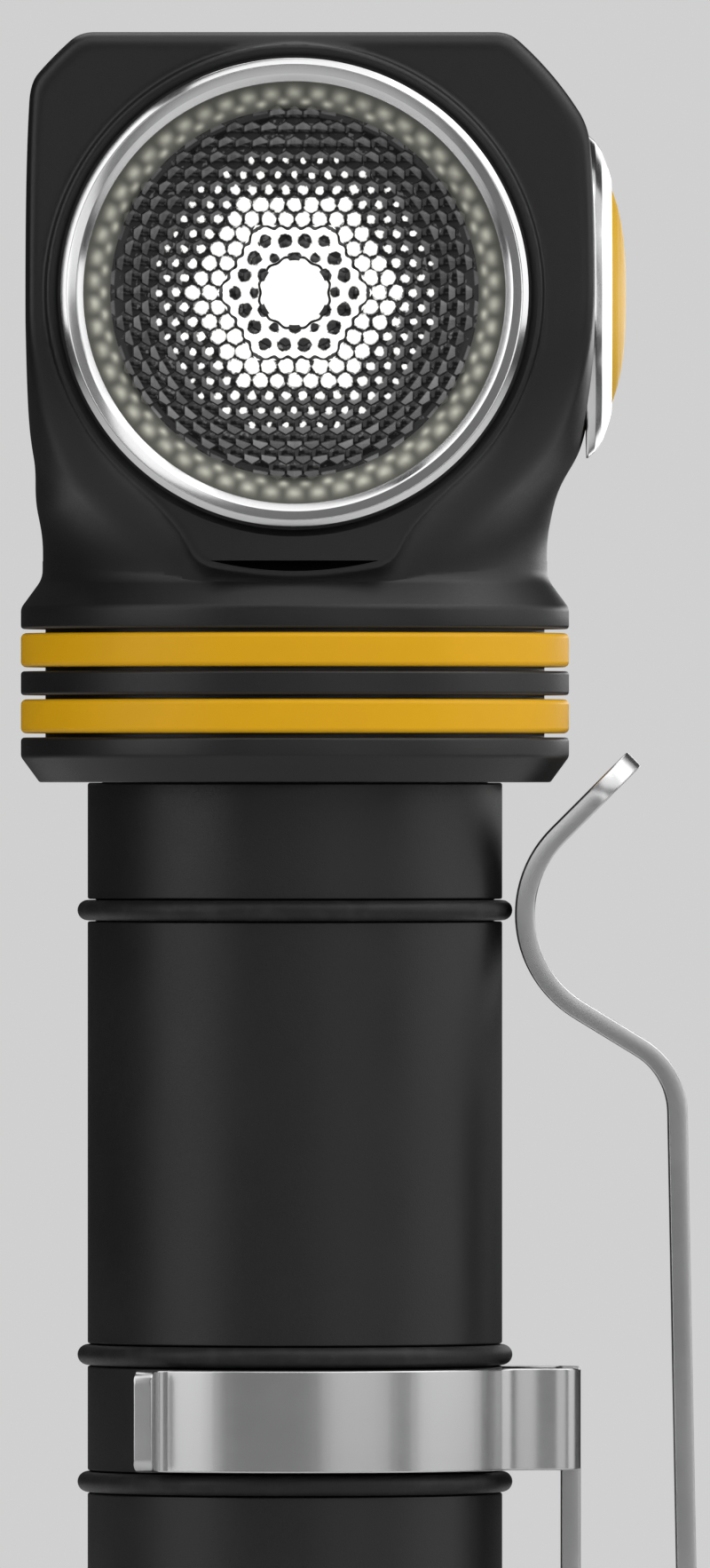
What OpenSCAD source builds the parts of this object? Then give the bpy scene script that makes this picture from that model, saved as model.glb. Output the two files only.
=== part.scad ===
// Right-angle flashlight with a side-facing optic, a side button and a spring steel clip.
// It stands on its tail: +Z runs up the tube axis, the lens faces -Y, the button and the clip are on +X.
// The origin is the centre of the flat tail face.

/* [Tube] */
// Outer diameter of the tube
tube_d = 24.5; // [24.5:0.1:24.8]
// Inner diameter of the tube, round the cell
bore_d = 19; // [18.8:0.1:19.2]
// Diameter of the threaded ends of the tube
thread_d = 22.8; // [22.6:0.1:22.8]
// Section diameter of the three rubber grip rings
grip_ring_t = 1.25; // [1.1:0.05:1.3]

/* [Tail cap] */
// Height of the tail cap
cap_h = 14.5; // [13.5:0.5:15]
// Thickness of the cap's floor under the magnet
cap_floor = 1.2; // [1:0.1:1.3]
// Diameter of the tail magnet
magnet_d = 16; // [14:0.5:16]

/* [Collar] */
// Height of the collar's lower edge above the tail face
collar_z = 66; // [66:0.1:66.2]
// Diameter of the collar and its fins
collar_d = 32.4; // [32:0.1:33]
// Height of each coloured accent ring
accent_h = 2.05; // [1.9:0.05:2.1]
// Height of the fin between the accent rings
fin_h = 1.42; // [1.3:0.02:1.5]
// Gap on each side of an accent ring
accent_gap = 0.22; // [0.2:0.02:0.24]

/* [Head] */
// Height of the top of the head
overall_h = 110; // [109.5:0.1:110]
// Height of the lens axis
lens_z = 94.7; // [94.6:0.1:94.8]
// Radius of the head about the lens axis
head_r = 19.8; // [19.5:0.1:20]
// From the tube axis to the flank opposite the button
head_left = 15.8; // [15.6:0.1:16]
// From the tube axis to the flank that holds the button
head_right = 17.5; // [17.5:0.1:17.6]
// From the tube axis to the flat front of the head
head_front = 14.7; // [14.5:0.1:14.8]
// From the tube axis to the back of the head
head_back = 13; // [12.8:0.1:13.5]
// Diameter of the neck between the head and the collar
neck_d = 29.8; // [29.6:0.1:30]

/* [Lens] */
// Outer diameter of the steel bezel
bezel_d = 27.5; // [27.5:0.1:27.6]
// Clear diameter inside the bezel
window_d = 24.8; // [24.6:0.1:24.8]
// Diameter of the honeycomb face of the optic
honeycomb_d = 21.7; // [21:0.1:22]
// Diameter of the round boss that carries the bezel
boss_d = 29.2; // [29.2:0.1:29.6]

/* [Button] */
// Diameter of the steel button plate
plate_d = 19.1; // [18.8:0.1:19.4]
// Diameter of the button itself
button_d = 12.9; // [12.7:0.1:12.9]
// Travel of the button
button_travel = 0.45; // [0.3:0.05:0.5]

/* [Clip] */
// Thickness of the spring steel strip
strip_t = 1.15; // [1:0.05:1.15]
// Width of the clip's leg and arm
strip_w = 6.6; // [6:0.1:7]
// Height of the band round the tube
band_h = 6; // [5.8:0.1:6]
// How far round the tube each half of the band reaches, in degrees
band_reach = 123; // [118:1:126]

/* [Hidden] */
$fn = 96;

fit = 0.02;            // gap between pieces that sit on each other
run = 0.05;            // gap round pieces that turn or slide
far = 60;              // longer than any cut has to be

tube_r = tube_d / 2;
bore_r = bore_d / 2;
thread_r = thread_d / 2;
socket_r = thread_r + run;

// Levels up the tube axis
spigot_z = 5.5;                      // lower end of the tube, inside the tail cap
tube_top = collar_z + 9.4;           // upper end of the tube, inside the head
driver_z = collar_z + 11.6;          // underside of the driver board
bay_top = driver_z + 3.4;            // ceiling of the driver bay
board_t = 1.2;                       // thickness of the driver board
cell_z = 9.2;                        // lower end of the cell
cell_h = 65;
cell_r = 9.2;
button_top_h = 1.2;                  // height of the cell's positive button
lower_grip_z = 24.7;
middle_grip_z = 32.2;
upper_grip_z = 58.45;
grip_ring_r = grip_ring_t / 2;

// Levels of the collar, from its lower edge up
collar_r = collar_d / 2;
core_r = collar_r - 1.45;            // bottom of the gaps beside the accent rings
seat_r = core_r - 0.55;              // seat that holds an accent ring
lower_lip_h = 2.65;
lower_ring_z = collar_z + lower_lip_h + accent_gap;
fin_z = lower_ring_z + accent_h + accent_gap;
upper_ring_z = fin_z + fin_h + accent_gap;
upper_lip_z = upper_ring_z + accent_h + accent_gap;
upper_lip_h = 1.25;
neck_z = upper_lip_z + 3;            // where the flare reaches the neck
neck_r = neck_d / 2;

// Depths from the tube axis towards the front, along the lens axis
boss_f = 15.3;                       // front of the boss
bezel_f = 16.1;                      // front of the bezel
lip_f = 14.6;                        // back of the bezel's lip
flange_f = 12.6;                     // shoulder that the optic's flange sits on
board_f = 1.4;                       // front of the LED board
shelf_f = -0.2;                      // shelf that the LED board sits on
optic_back_f = 2.1;
optic_bore_r = 12.6;
bezel_seat_r = bezel_d / 2 - 0.1;    // thread of the bezel in the head
flange_r = bezel_seat_r - 0.75;
screw_places = [[-7.8, 2], [7.8, -2]];

// Leads inside the head
lead_r = 0.45;
lead_x = 2.5;
lead_f = 3.2;
switch_lead_r = 0.4;
switch_lead_foot = [8.9, 3];         // where the passage meets the ceiling of the driver bay
switch_lead_lean = 27.5;

// Distances from the tube axis towards the button
pocket_s = 13.2;                     // floor of the switch pocket
pocket_r = 7.65;
plate_s = head_right + 1.2;          // outer face of the button plate
button_s = head_right + 2.05;        // top of the button's dome
lip_s = head_right - 1;              // outer face of the button's lip

// Clip: the band sits between the lower and the middle grip ring
band_z = lower_grip_z + 0.75;
band_in_r = tube_r + run;
band_out_r = band_in_r + strip_t;
bracket_x = 16.87;                   // outer face of the plate that joins the two halves
bend_r = 1.5;                        // outer radius of the bends beside that plate
curl_r = 0.6;                        // inner radius of the outward curl at each free end
curl_tip = 0.5;                      // straight length after the curl
root_angle = 17;                     // where each half of the band leaves the tube for the bracket
curl_turn = 105;                     // how far the free ends curl outward
loop_x = 19.8;                       // centre of the loop under the band
loop_z = 10;
loop_r = loop_x - (bracket_x - strip_t / 2);
arm_lean = 1.1;                      // lean of the arm towards the tube
arm_straight = 36.5;
shoulder_r = 4.6;                    // bend that leaves the straight
shoulder_turn = 57.5;
ramp_straight = 4.28;
nose_r = 6.6;                        // bend that nearly touches the upper grip ring
tip_heading = 45;
tip_straight = 6.4;

// ---------- helpers ----------

// A turned shape from its (radius, height) outline
module lathe(outline) rotate_extrude() polygon(outline);

// A washer or sleeve
module sleeve(outer_r, inner_r, z, h) {
    translate([0, 0, z]) difference() {
        cylinder(r = outer_r, h = h);
        translate([0, 0, -1]) cylinder(r = inner_r, h = h + 2);
    }
}

// A ring of round section
module round_ring(r, section_r, z) {
    translate([0, 0, z]) rotate_extrude() translate([r, 0]) circle(r = section_r, $fn = 32);
}

// Children drawn with +Z forward are set on the lens axis, facing -Y
module on_lens_axis() translate([0, 0, lens_z]) rotate([90, 0, 0]) children();

// Children drawn with +Z outward are set on the button axis, facing +X
module on_button_axis() translate([0, 0, lens_z]) rotate([0, 90, 0]) children();

// Children drawn in the XZ plane become a strip across Y
module strip_across(w) rotate([90, 0, 0]) linear_extrude(height = w, center = true) children();

// Part of a flat ring, from angle a to angle b, with b - a under 180
module arc_2d(r, t, a, b) {
    reach = 4 * r;
    mid = (a + b) / 2;
    intersection() {
        difference() {
            circle(r = r + t / 2);
            circle(r = r - t / 2);
        }
        polygon([
            [0, 0],
            reach * [cos(a), sin(a)],
            reach * [cos(mid), sin(mid)],
            reach * [cos(b), sin(b)]
        ]);
    }
}

// A wire of round section through a list of points
function unit(v) = v / norm(v);
function tangent(p, i) = unit(p[min(i + 1, len(p) - 1)] - p[max(i - 1, 0)]);
function wire_ring(p, i, r, sides) =
    let (t = tangent(p, i), u = unit(cross(t, [0, 0, 1])), v = cross(t, u))
    [for (k = [0 : sides - 1]) p[i] + r * (cos(360 * k / sides) * u + sin(360 * k / sides) * v)];
module wire(p, r, sides = 8) {
    n = len(p);
    rings = [for (i = [0 : n - 1]) each wire_ring(p, i, r, sides)];
    walls = [for (i = [0 : n - 2], k = [0 : sides - 1])
        let (a = i * sides + k, b = i * sides + (k + 1) % sides) [a, b, b + sides, a + sides]];
    first = [for (k = [sides - 1 : -1 : 0]) k];
    last = [for (k = [0 : sides - 1]) (n - 1) * sides + k];
    polyhedron(points = rings, faces = concat([first], walls, [last]));
}

// ---------- head ----------

// Outline of the head seen from above, with round back corners
module head_plan() {
    corner_r = 8;
    width = head_left + head_right;
    translate([-head_left, -head_front]) square([width, head_front + head_back - corner_r]);
    translate([-head_left + corner_r, 0]) square([width - 2 * corner_r, head_back]);
    translate([-head_left + corner_r, head_back - corner_r]) circle(r = corner_r);
    translate([head_right - corner_r, head_back - corner_r]) circle(r = corner_r);
}

// Upper part of the head: the plan, cut by a cylinder about the lens axis and flared up from the neck
module head_block() {
    block_z = neck_z + 1.5;
    flare_r = neck_r + 9;
    intersection() {
        translate([0, 0, block_z]) linear_extrude(height = overall_h - block_z) head_plan();
        on_lens_axis() translate([0, 0, -20]) cylinder(r = head_r, h = 40);
        lathe([
            [0, block_z], [neck_r, block_z], [flare_r, block_z + 10], [flare_r, overall_h], [0, overall_h]
        ]);
    }
}

// Collar, fins, accent ring seats, flare and neck in one turned shape
module head_base() {
    lathe([
        [0, collar_z], [collar_r - 1.1, collar_z], [collar_r, collar_z + 1.5],
        [collar_r, collar_z + lower_lip_h], [core_r, collar_z + lower_lip_h],
        [core_r, lower_ring_z], [seat_r, lower_ring_z],
        [seat_r, lower_ring_z + accent_h], [core_r, lower_ring_z + accent_h],
        [core_r, fin_z], [collar_r, fin_z], [collar_r, fin_z + fin_h], [core_r, fin_z + fin_h],
        [core_r, upper_ring_z], [seat_r, upper_ring_z],
        [seat_r, upper_ring_z + accent_h], [core_r, upper_ring_z + accent_h],
        [core_r, upper_lip_z], [collar_r, upper_lip_z], [collar_r, upper_lip_z + upper_lip_h],
        [neck_r, neck_z], [neck_r, lens_z - 10], [0, lens_z - 10]
    ]);
}

// Boss round the lens, with the chin below it
module lens_boss() {
    chin_w = 11.8;
    chin_z = neck_z + 1.3;
    on_lens_axis() cylinder(r = boss_d / 2, h = boss_f);
    translate([-chin_w / 2, -boss_f, chin_z]) cube([chin_w, boss_f, lens_z - chin_z]);
}

// Shallow cooling grooves across the back
module cooling_grooves() {
    groove_w = 1.6;
    groove_pitch = 3.4;
    groove_depth = 1.5;
    for (i = [-2 : 2])
        translate([-far / 2, head_back - groove_depth, lens_z + i * groove_pitch - groove_w / 2])
            cube([far, far, groove_w]);
}

module lens_bores() {
    on_lens_axis() {
        translate([0, 0, shelf_f]) cylinder(r = optic_bore_r, h = far);
        translate([0, 0, flange_f]) cylinder(r = bezel_seat_r + run, h = far);
        translate([0, 0, boss_f - 0.5]) cylinder(r = bezel_d / 2 + 0.2, h = far);
    }
}

module lead_hole(x) {
    translate([x, -lead_f, bay_top - 1]) cylinder(r = 1, h = lens_z - bay_top - 9, $fn = 32);
}

// Children drawn along +Z run from the driver bay up to the switch pocket
module along_switch_leads() {
    translate([switch_lead_foot[0], switch_lead_foot[1], bay_top])
        rotate([0, switch_lead_lean, 0]) children();
}

module head_housing() {
    color([0.13, 0.13, 0.13]) difference() {
        union() {
            head_base();
            head_block();
            lens_boss();
        }
        lens_bores();
        cooling_grooves();
        on_button_axis() translate([0, 0, pocket_s]) cylinder(r = pocket_r, h = far);
        translate([0, 0, collar_z - 1]) cylinder(r = socket_r, h = tube_top - collar_z + 1.2);
        translate([0, 0, tube_top]) cylinder(r = socket_r + 0.15, h = bay_top - tube_top);
        lead_hole(lead_x);
        lead_hole(-lead_x);
        for (p = screw_places)
            on_lens_axis() translate([p[0], p[1], shelf_f - 4]) cylinder(r = 0.9, h = 5, $fn = 32);
        along_switch_leads() translate([0, 0, -0.6]) cylinder(r = 1.1, h = 10.5, $fn = 32);
    }
}

module bezel_ring() {
    outer_r = bezel_d / 2;
    inner_r = window_d / 2;
    color([0.75, 0.75, 0.75]) on_lens_axis() lathe([
        [inner_r, lip_f], [inner_r, bezel_f - 0.25], [inner_r + 0.25, bezel_f], [outer_r - 0.3, bezel_f],
        [outer_r, bezel_f - 0.3], [outer_r, boss_f - 0.45], [bezel_seat_r, boss_f - 0.45],
        [bezel_seat_r, flange_f + 0.1], [flange_r + 0.1, flange_f + 0.1], [flange_r + 0.1, lip_f]
    ]);
}

module optic_seal() {
    color([0.1, 0.1, 0.1]) on_lens_axis() sleeve(flange_r, window_d / 2 + 0.05, 14 + fit, 0.6 - 2 * fit);
}

module tir_optic() {
    face_r = honeycomb_d / 2;
    color([0.85, 0.87, 0.85, 0.6]) on_lens_axis() lathe([
        [0, 5.2], [2.4, 4.7], [2.5, optic_back_f], [4.2, optic_back_f], [11.5, flange_f + fit],
        [flange_r, flange_f + fit], [flange_r, 14], [face_r, 14], [face_r, 14.2], [0, 14.6]
    ]);
}

module optic_holder() {
    color([0.9, 0.9, 0.88]) on_lens_axis() lathe([
        [4.4, board_f + fit], [5.25, board_f + fit], [5.25, optic_back_f], [12.3, 12.3],
        [12.3, flange_f - 0.05], [11.66, flange_f - 0.05], [4.4, optic_back_f]
    ]);
}

module led_emitter() {
    base_w = 3.5;
    base_h = 0.6;
    dome_r = 1.6;
    color([0.95, 0.9, 0.6]) on_lens_axis() translate([0, 0, board_f + fit]) {
        translate([-base_w / 2, -base_w / 2, 0]) cube([base_w, base_w, base_h]);
        translate([0, 0, base_h]) intersection() {
            sphere(r = dome_r);
            translate([-dome_r, -dome_r, -0.1]) cube([2 * dome_r, 2 * dome_r, 2 * dome_r]);
        }
    }
}

module led_board() {
    color([0.92, 0.92, 0.9]) on_lens_axis() difference() {
        translate([0, 0, shelf_f + fit]) cylinder(r = 10, h = board_f - shelf_f - fit);
        for (p = screw_places) translate([p[0], p[1], shelf_f - 1]) cylinder(r = 1.1, h = 4, $fn = 32);
    }
}

module board_screw() {
    color([0.7, 0.7, 0.7]) difference() {
        union() {
            translate([0, 0, board_f + fit]) cylinder(r = 1.8, h = 0.9, $fn = 32);
            translate([0, 0, shelf_f - 3]) cylinder(r = 0.88, h = board_f - shelf_f + 3.1, $fn = 32);
        }
        for (a = [0, 90]) rotate([0, 0, a]) translate([-1.1, -0.2, board_f + 0.5]) cube([2.2, 0.4, 1]);
    }
}

module board_screws() {
    for (p = screw_places) on_lens_axis() translate([p[0], p[1], 0]) board_screw();
}

// Two insulated leads from the driver board up to the pads of the LED board
module led_lead(x) {
    bend = 1.2;
    rise_z = lens_z - 8.7;
    start_z = driver_z + board_t + fit;
    translate([x, -lead_f, start_z]) cylinder(r = lead_r, h = rise_z - start_z, $fn = 24);
    translate([x, -lead_f + bend, rise_z]) rotate([90, 0, -90])
        rotate_extrude(angle = 90) translate([bend, 0]) circle(r = lead_r, $fn = 24);
    translate([x, -lead_f + bend, rise_z + bend]) rotate([-90, 0, 0])
        cylinder(r = lead_r, h = lead_f - bend - board_f - fit, $fn = 24);
}

module led_leads() {
    color([0.7, 0.1, 0.1]) led_lead(-lead_x);
    color([0.1, 0.1, 0.1]) led_lead(lead_x);
}

// ---------- driver ----------

module driver_board() {
    color([0.1, 0.35, 0.2]) translate([0, 0, driver_z]) cylinder(r = socket_r + 0.05, h = board_t);
}

module driver_components() {
    top = driver_z + board_t + fit;
    color([0.25, 0.25, 0.27]) translate([-7.5, 0.5, top]) cube([6.4, 6.4, 1.9]);
    color([0.1, 0.1, 0.1]) translate([2.2, 1.2, top]) cube([4.2, 4.2, 0.9]);
    color([0.75, 0.68, 0.5]) for (x = [-6, -3, 0, 3]) translate([x, -7.5, top]) cube([1.8, 1, 0.8]);
}

module driver_retainer() {
    color([0.8, 0.65, 0.3]) sleeve(socket_r + 0.1, 9.9, tube_top + 0.2, driver_z - tube_top - 0.2 - fit);
}

module front_contact() {
    top = driver_z - fit;
    low = cell_z + cell_h + button_top_h + fit;
    color([0.85, 0.7, 0.35]) lathe([
        [0, low], [2.2, low], [3, low + 0.5], [3, top - 0.6], [4.4, top - 0.6], [4.4, top], [0, top]
    ]);
}

// ---------- button ----------

// Two insulated leads from the driver board up to the back of the switch board
module switch_leads() {
    low = -(bay_top - driver_z - board_t) / cos(switch_lead_lean) + 0.3;
    reach = pocket_s - switch_lead_foot[0] - switch_lead_r * cos(switch_lead_lean);
    high = reach / sin(switch_lead_lean);
    color([0.15, 0.15, 0.15]) along_switch_leads()
        for (y = [-switch_lead_r - fit, switch_lead_r + fit])
            translate([0, y, low]) cylinder(r = switch_lead_r, h = high - low, $fn = 24);
}

module switch_board() {
    color([0.1, 0.35, 0.2]) on_button_axis()
        translate([0, 0, pocket_s + fit]) cylinder(r = pocket_r - 0.2, h = 0.8);
}

module tact_switch() {
    w = 5.2;
    top = pocket_s + 2.15;
    color([0.6, 0.6, 0.62]) on_button_axis() difference() {
        translate([-w / 2, -w / 2, pocket_s + 0.84]) cube([w, w, top - pocket_s - 0.84]);
        translate([0, 0, top - 0.65]) cylinder(r = 1.45, h = 2, $fn = 32);
    }
}

module switch_plunger() {
    color([0.15, 0.15, 0.15]) on_button_axis()
        translate([0, 0, pocket_s + 2.05]) cylinder(r = 1.35, h = 0.85, $fn = 32);
}

// Domed cap with a lip that the steel plate holds in, and a nub that works the switch
module button_cap() {
    r = button_d / 2;
    lip_r = pocket_r - 0.3;
    color([0.93, 0.66, 0.1]) on_button_axis() {
        difference() {
            lathe([
                [0, lip_s - 0.6], [lip_r, lip_s - 0.6], [lip_r, lip_s - 0.05], [r, lip_s - 0.05],
                [r, plate_s - 0.2], [r - 0.4, plate_s + 0.1], [r - 1.6, plate_s + 0.5],
                [r - 3.2, button_s - 0.1], [r - 4.8, button_s], [0, button_s]
            ]);
            translate([0, 0, lip_s - 2]) cylinder(r = r - 1.2, h = 3.1);
        }
        translate([0, 0, pocket_s + 2.92])
            cylinder(r = 1.5, h = lip_s + 1.3 - pocket_s - 2.92, $fn = 32);
    }
}

module button_gasket() {
    low = pocket_s + 0.9;
    color([0.12, 0.12, 0.12]) on_button_axis()
        sleeve(pocket_r - 0.1, 5.9, low, lip_s - 0.75 - button_travel - low);
}

// Steel plate round the button, with a threaded skirt in the pocket
module button_plate() {
    inner_r = button_d / 2 + 0.12;
    outer_r = plate_d / 2;
    color([0.8, 0.8, 0.8]) on_button_axis() lathe([
        [inner_r, lip_s + 0.1], [pocket_r - 0.05, lip_s + 0.1], [pocket_r - 0.05, head_right + fit],
        [outer_r, head_right + fit], [outer_r, head_right + 0.35], [outer_r - 0.4, head_right + 0.7],
        [outer_r - 1.8, head_right + 1.05], [inner_r + 0.6, plate_s], [inner_r, plate_s - 0.15]
    ]);
}

// ---------- collar rings ----------

module accent_ring(z) {
    soft = 0.25;
    color([0.77, 0.57, 0.1]) lathe([
        [seat_r + fit, z + fit], [collar_r - soft, z + fit], [collar_r, z + soft],
        [collar_r, z + accent_h - soft], [collar_r - soft, z + accent_h - fit],
        [seat_r + fit, z + accent_h - fit]
    ]);
}
module upper_accent_ring() accent_ring(upper_ring_z);
module lower_accent_ring() accent_ring(lower_ring_z);

// ---------- tube ----------

seal_w = 1.3;          // width of a seal groove
seal_in = 1.05;        // depth of a seal groove
seal_r = 0.52;         // section radius of a seal
tail_seal_z = cap_h - 1.35;
head_seal_z = collar_z + 1.65;

module battery_tube() {
    color([0.13, 0.13, 0.13]) difference() {
        lathe([
            [0, spigot_z], [thread_r - 0.4, spigot_z], [thread_r, spigot_z + 0.4],
            [thread_r, cap_h + fit], [tube_r - 0.2, cap_h + fit], [tube_r, cap_h + 0.2], [tube_r, collar_z - fit],
            [thread_r, collar_z - fit], [thread_r, tube_top], [0, tube_top]
        ]);
        translate([0, 0, -1]) cylinder(r = bore_r, h = far * 2);
        for (z = [lower_grip_z, middle_grip_z, upper_grip_z])
            sleeve(tube_r + 1, tube_r - grip_ring_r - fit, z - grip_ring_r, grip_ring_t);
        for (z = [tail_seal_z, head_seal_z])
            sleeve(thread_r + 0.04, thread_r - seal_in, z - seal_w / 2, seal_w);
    }
}

module grip_ring(z) color([0.08, 0.08, 0.08]) round_ring(tube_r, grip_ring_r - fit, z);
module upper_grip_ring() grip_ring(upper_grip_z);
module middle_grip_ring() grip_ring(middle_grip_z);
module lower_grip_ring() grip_ring(lower_grip_z);

module thread_seal(z) color([0.75, 0.2, 0.12]) round_ring(thread_r - seal_r + 0.02, seal_r, z);
module head_seal() thread_seal(head_seal_z);
module tail_seal() thread_seal(tail_seal_z);

module battery_cell() {
    color([0.1, 0.3, 0.55]) lathe([
        [0, cell_z], [cell_r - 0.4, cell_z], [cell_r, cell_z + 0.4],
        [cell_r, cell_z + cell_h - 0.6], [cell_r - 0.6, cell_z + cell_h], [0, cell_z + cell_h]
    ]);
}

module battery_button() {
    z = cell_z + cell_h + fit;
    top = cell_z + cell_h + button_top_h;
    color([0.8, 0.8, 0.78]) lathe([[0, z], [4, z], [4, z + 0.3], [3, z + 0.5], [3, top], [0, top]]);
}

// ---------- tail ----------

magnet_h = 2;
board_z = cap_floor + magnet_h + 0.1;    // underside of the tail contact board
contact_t = 0.98;
retainer_z = board_z + contact_t + 2 * fit;

module tail_cap() {
    groove_z = 5.2;
    groove_pitch = 2.2;
    color([0.13, 0.13, 0.13]) difference() {
        lathe([
            [0, 0], [tube_r - 1.2, 0], [tube_r, 1.2], [tube_r, cap_h - 0.25], [tube_r - 0.25, cap_h],
            [0, cap_h]
        ]);
        translate([0, 0, cap_floor]) cylinder(r = magnet_d / 2 + 0.1, h = far);
        translate([0, 0, board_z - fit]) cylinder(r = socket_r, h = far);
        for (i = [0 : 2]) sleeve(tube_r + 1, tube_r - 0.5, groove_z + i * groove_pitch, 0.9);
    }
}

module tail_magnet() {
    color([0.7, 0.7, 0.72]) translate([0, 0, cap_floor + fit]) cylinder(d = magnet_d, h = magnet_h);
}

module tail_contact_board() {
    color([0.75, 0.6, 0.25]) translate([0, 0, board_z]) cylinder(r = socket_r - 0.25, h = contact_t);
}

module tail_retainer() {
    color([0.8, 0.65, 0.3]) sleeve(socket_r - 0.06, 9.9, retainer_z, spigot_z - retainer_z - 0.15);
}

// Conical spring between the contact board and the cell
module tail_spring() {
    wire_r = 0.4;
    turns = 4;
    steps = 18;
    low = board_z + contact_t + wire_r + fit;
    high = cell_z - wire_r - fit;
    path = [for (i = [0 : turns * steps])
        let (t = i / (turns * steps), r = 7.2 - 3.4 * t)
        [r * cos(360 * turns * t), r * sin(360 * turns * t), low + (high - low) * t]];
    color([0.85, 0.72, 0.4]) wire(path, wire_r);
}

// ---------- clip ----------

// One half of the band, seen from above: round the tube, out to the bracket, and curled at its free end
module band_half() {
    wing_y = strip_w / 2 + bend_r;
    wing_x = sqrt(pow(band_in_r, 2) - pow(wing_y - strip_t, 2));
    curl_start = band_reach + 180;
    arc_2d(band_in_r + strip_t / 2, strip_t, root_angle, band_reach);
    translate([wing_x, wing_y - strip_t]) square([bracket_x - bend_r - wing_x, strip_t]);
    translate([bracket_x - bend_r, strip_w / 2]) arc_2d(bend_r - strip_t / 2, strip_t, -1, 91);
    translate([bracket_x - strip_t, -0.01]) square([strip_t, strip_w / 2 + 0.02]);
    translate((band_out_r + curl_r) * [cos(band_reach), sin(band_reach)]) {
        arc_2d(curl_r + strip_t / 2, strip_t, curl_start - curl_turn, curl_start + 0.5);
        rotate(curl_start - curl_turn) translate([curl_r, -curl_tip]) square([strip_t, curl_tip + 0.01]);
    }
}

module clip_band() {
    color([0.55, 0.55, 0.55]) {
        translate([0, 0, band_z]) linear_extrude(height = band_h) {
            band_half();
            mirror([0, 1]) band_half();
        }
        translate([bracket_x - strip_t, -strip_w / 2, loop_z])
            cube([strip_t, strip_w, band_z - loop_z + 1]);
        strip_across(strip_w) translate([loop_x, loop_z]) arc_2d(loop_r, strip_t, 179.9, 269.5);
    }
}

// The arm is drawn as a path of straights and bends. A pose on it is [x, z, heading].
function ahead(p, l) = [p[0] + l * cos(p[2]), p[1] + l * sin(p[2]), p[2]];
function turn_centre(p, r) = [p[0] - r * sin(p[2]), p[1] + r * cos(p[2])];
function turned(p, r, a) =
    let (c = turn_centre(p, r)) [c[0] + r * sin(p[2] + a), c[1] - r * cos(p[2] + a), p[2] + a];
module straight_2d(p, l) {
    translate([p[0], p[1]]) rotate(p[2]) translate([-0.01, -strip_t / 2]) square([l + 0.02, strip_t]);
}
// Bend to the left, with its centre at distance r on that side
module left_bend_2d(p, r, a) {
    translate(turn_centre(p, r)) arc_2d(r, strip_t, p[2] - 90, p[2] - 90 + a);
}
// Bend to the right by the angle a
module right_bend_2d(p, r, a) {
    translate(turn_centre(p, -r)) arc_2d(r, strip_t, p[2] + 90 - a, p[2] + 90);
}

arm_start = [loop_x + loop_r * cos(arm_lean), loop_z + loop_r * sin(arm_lean), 90 + arm_lean];
arm_top = ahead(arm_start, arm_straight);
ramp_start = turned(arm_top, shoulder_r, shoulder_turn);
nose_start = ahead(ramp_start, ramp_straight);
nose_turn = nose_start[2] - tip_heading;
tip_start = turned(nose_start, -nose_r, -nose_turn);

module clip_arm() {
    color([0.55, 0.55, 0.55]) strip_across(strip_w) {
        translate([loop_x, loop_z]) arc_2d(loop_r, strip_t, 270.3, 360 + arm_lean);
        straight_2d(arm_start, arm_straight);
        left_bend_2d(arm_top, shoulder_r, shoulder_turn);
        straight_2d(ramp_start, ramp_straight);
        right_bend_2d(nose_start, nose_r, nose_turn);
        straight_2d(tip_start, tip_straight);
    }
}

// ---------- assembly ----------

head_housing();
bezel_ring();
optic_seal();
tir_optic();
optic_holder();
led_emitter();
led_board();
board_screws();
led_leads();
driver_board();
driver_components();
driver_retainer();
front_contact();
switch_board();
switch_leads();
tact_switch();
switch_plunger();
button_cap();
button_gasket();
button_plate();
upper_accent_ring();
lower_accent_ring();
battery_tube();
head_seal();
tail_seal();
upper_grip_ring();
middle_grip_ring();
lower_grip_ring();
battery_cell();
battery_button();
tail_spring();
tail_contact_board();
tail_retainer();
tail_magnet();
tail_cap();
clip_band();
clip_arm();
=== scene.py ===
"""Looks for a right-angle flashlight: black anodised body, steel trim, yellow rings and a spring clip.

Shapes are worked out in millimetres in the CAD frame and scaled to metres when their meshes are made.
"""

from math import acos, cos, hypot, pi, radians, sin, sqrt, tan

import bmesh
import bpy
import numpy as np
import openvdb
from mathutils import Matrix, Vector


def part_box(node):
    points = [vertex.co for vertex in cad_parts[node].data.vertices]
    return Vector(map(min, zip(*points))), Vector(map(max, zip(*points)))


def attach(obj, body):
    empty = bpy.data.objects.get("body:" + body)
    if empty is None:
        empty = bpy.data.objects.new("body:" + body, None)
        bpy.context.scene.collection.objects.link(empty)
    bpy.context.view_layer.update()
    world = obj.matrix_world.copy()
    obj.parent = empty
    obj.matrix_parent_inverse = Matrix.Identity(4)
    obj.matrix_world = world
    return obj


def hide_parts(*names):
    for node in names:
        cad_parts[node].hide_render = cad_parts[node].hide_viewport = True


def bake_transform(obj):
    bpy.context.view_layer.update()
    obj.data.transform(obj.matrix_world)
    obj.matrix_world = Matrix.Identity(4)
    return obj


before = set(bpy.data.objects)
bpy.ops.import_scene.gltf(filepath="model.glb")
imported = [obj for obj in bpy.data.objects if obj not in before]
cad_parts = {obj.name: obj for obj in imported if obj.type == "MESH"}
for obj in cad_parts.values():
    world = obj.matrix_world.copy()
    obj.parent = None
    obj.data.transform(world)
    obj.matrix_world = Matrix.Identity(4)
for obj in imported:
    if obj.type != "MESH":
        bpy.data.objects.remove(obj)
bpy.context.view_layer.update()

MM = 0.001
SEGMENTS = 192


# ---------- sizes, most of them from the CAD frame ----------


def low(node):
    """Lowest corner of a CAD node, in millimetres."""
    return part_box(node)[0] / MM


def high(node):
    """Highest corner of a CAD node, in millimetres."""
    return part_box(node)[1] / MM


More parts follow.
